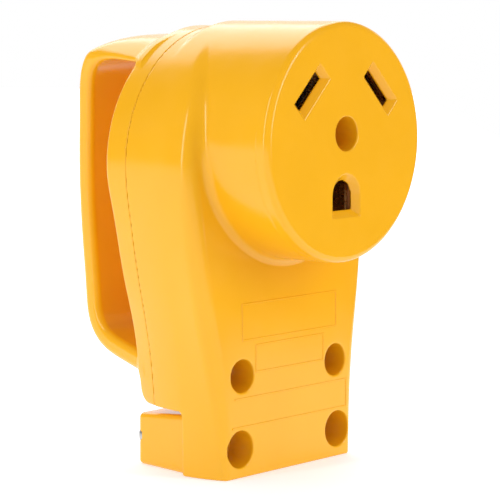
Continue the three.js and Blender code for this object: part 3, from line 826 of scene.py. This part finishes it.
def bead_loop(name, corners, closed):
    """A raised bead along straight runs on the panel, mitred at its corners, which are (x, z) in mm."""
    points = bead_path(corners, closed)
    count = len(points)
    rows = []
    for i, point in enumerate(points):
        runs = []
        if closed or i:
            runs.append((point - points[i - 1]).normalized())
        if closed or i + 1 < count:
            runs.append((points[(i + 1) % count] - point).normalized())
        sides = [Vector((-run.y, run.x)) for run in runs]
        mitre = sum(sides, Vector((0, 0)))
        mitre /= mitre.dot(sides[0])
        level = float(panel_at(point.x, point.y))
        for off, rise in BEAD_PROFILE:
            rows.append((point.x + mitre.x * off, level + rise, point.y + mitre.y * off))
    vertices = [[c * 0.001 for c in row] for row in rows]
    faces = []
    width = len(BEAD_PROFILE)
    for i in range(count if closed else count - 1):
        a = i * width
        b = (i + 1) % count * width
        faces += [(a + k, a + (k + 1) % width, b + (k + 1) % width, b + k) for k in range(width)]
    if not closed:
        faces.append(tuple(reversed(range(width))))
        faces.append(tuple(range((count - 1) * width, count * width)))
    mesh = bpy.data.meshes.new(name)
    mesh.from_pydata(vertices, [], faces)
    made = bpy.data.objects.new(name, mesh)
    bpy.context.collection.objects.link(made)
    return made


def frame_corners(half, top, foot):
    """Four corners, with top and foot as depths below the head's middle."""
    top, foot = HEAD_Z - top, HEAD_Z - foot
    return [(-half, top), (half, top), (half, foot), (-half, foot)]


BAND_TOP = HEAD_Z - 61.94
BAND_FOOT = HEAD_Z - 68.94
BAND = [(-20.5, BAND_TOP), (21.9, BAND_TOP), (21.9, BAND_FOOT), (-21.5, BAND_FOOT)]
BEADS = {
    "raised_upper_frame": (frame_corners(17.73, 39.0, 47.8), True),
    "raised_middle_frame": (frame_corners(12.76, 49.35, 55.96), True),
    "raised_band": (BAND, False),
}
for name, (corners, closed) in BEADS.items():
    made = bead_loop(name, corners, closed)
    made.data.materials.append(MATERIALS["yellow_plastic"])
    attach(made, BODY_OF["front_housing"])


# ------------------------------------------------------------------ floor and light
def studio(right, back, up):
    """A place in metres, from the object, along the camera's level right and its level view."""
    sine, cosine = math.sin(CAMERA_AZIMUTH), math.cos(CAMERA_AZIMUTH)
    return Vector((right * cosine - back * sine, right * sine + back * cosine, up))


# The floor ends near the object's right, so that the front reflects little of it, and short of the backdrop.
FLOOR = {"left": -4.0, "right": 0.22, "near": -1.2, "far": 2.55}
FLOOR_GLOW = 0.36


def make_floor():
    """A plain pale floor that glows a little, so that only the object's shadow shows on it."""
    mesh = bpy.data.meshes.new("floor")
    corners = [
        (FLOOR["left"], FLOOR["near"]),
        (FLOOR["right"], FLOOR["near"]),
        (FLOOR["right"], FLOOR["far"]),
        (FLOOR["left"], FLOOR["far"]),
    ]
    mesh.from_pydata([studio(right, back, 0) for right, back in corners], [], [(0, 1, 2, 3)])
    floor = bpy.data.objects.new("floor", mesh)
    bpy.context.collection.objects.link(floor)
    made, nodes, links, shader = node_material("pale_floor")
    place = nodes.new("ShaderNodeTexCoord")
    tint(nodes, links, noise(nodes, links, 30, 3, place), (0.72, 0.77, 0.81), (0.74, 0.79, 0.83), shader)
    shader.inputs["Roughness"].default_value = 0.9
    shader.inputs["Specular IOR Level"].default_value = 0.1
    shader.inputs["Emission Color"].default_value = (1, 1, 1, 1)
    shader.inputs["Emission Strength"].default_value = FLOOR_GLOW
    mesh.materials.append(made)


def soft_light(name, place, aim, size, radiance, reflected=True):
    """A rectangle that shines evenly on what it faces. Unless reflected, no gloss shows it."""
    lamp = bpy.data.lights.new(name, "AREA")
    lamp.shape = "RECTANGLE"
    lamp.size, lamp.size_y = size
    lamp.energy = radiance * math.pi * size[0] * size[1]
    made = bpy.data.objects.new(name, lamp)
    bpy.context.collection.objects.link(made)
    made.location = place
    made.rotation_mode = "QUATERNION"
    made.rotation_quaternion = (aim - place).to_track_quat("-Z", "Y")
    made.visible_glossy = reflected


# The sky's strength for diffuse light, in glossy reflections and straight to the camera.
SKY_LIGHT = 0.70
SKY_REFLECTED = 0.1
SKY_SEEN = 1.0


def make_sky():
    """A white backdrop that lights the object evenly, but shows only faintly in its reflections."""
    world = bpy.data.worlds.new("studio")
    world.use_nodes = True
    bpy.context.scene.world = world
    nodes, links = world.node_tree.nodes, world.node_tree.links
    path = nodes.new("ShaderNodeLightPath")
    last = nodes["Background"]
    last.inputs["Strength"].default_value = SKY_LIGHT
    for seen_by, strength in (("Is Glossy Ray", SKY_REFLECTED), ("Is Camera Ray", SKY_SEEN)):
        shown = nodes.new("ShaderNodeBackground")
        shown.inputs["Color"].default_value = (1, 1, 1, 1)
        shown.inputs["Strength"].default_value = strength
        mix = nodes.new("ShaderNodeMixShader")
        links.new(path.outputs[seen_by], mix.inputs["Fac"])
        links.new(last.outputs[0], mix.inputs[1])
        links.new(shown.outputs["Background"], mix.inputs[2])
        last = mix
    nodes["Background"].inputs["Color"].default_value = (1, 1, 1, 1)
    links.new(last.outputs["Shader"], nodes["World Output"].inputs["Surface"])


make_floor()
make_sky()
# The two softboxes either side of the camera draw the thin highlights along the rounded edges.
MIDDLE = Vector((0, 0, 0.06))
soft_light("above_and_behind", studio(-0.35, 1.35, 1.0), studio(-0.35, 1.349, 0), (1.5, 1.5), 2.4)
soft_light("left_softbox", studio(-0.79, -0.6, 0.42), MIDDLE, (0.10, 0.8), 11)
soft_light("right_softbox", studio(0.92, -0.39, 0.42), MIDDLE, (0.12, 0.8), 12)
soft_light("left_fill", studio(-1.0, 0.15, 0.3), MIDDLE, (0.7, 0.6), 0.65, reflected=False)
soft_light("backdrop", studio(0, 2.6, 0.75), studio(0, 0, 0.75), (6, 1.5), 1.0)
bpy.context.scene.view_settings.view_transform = "Standard"
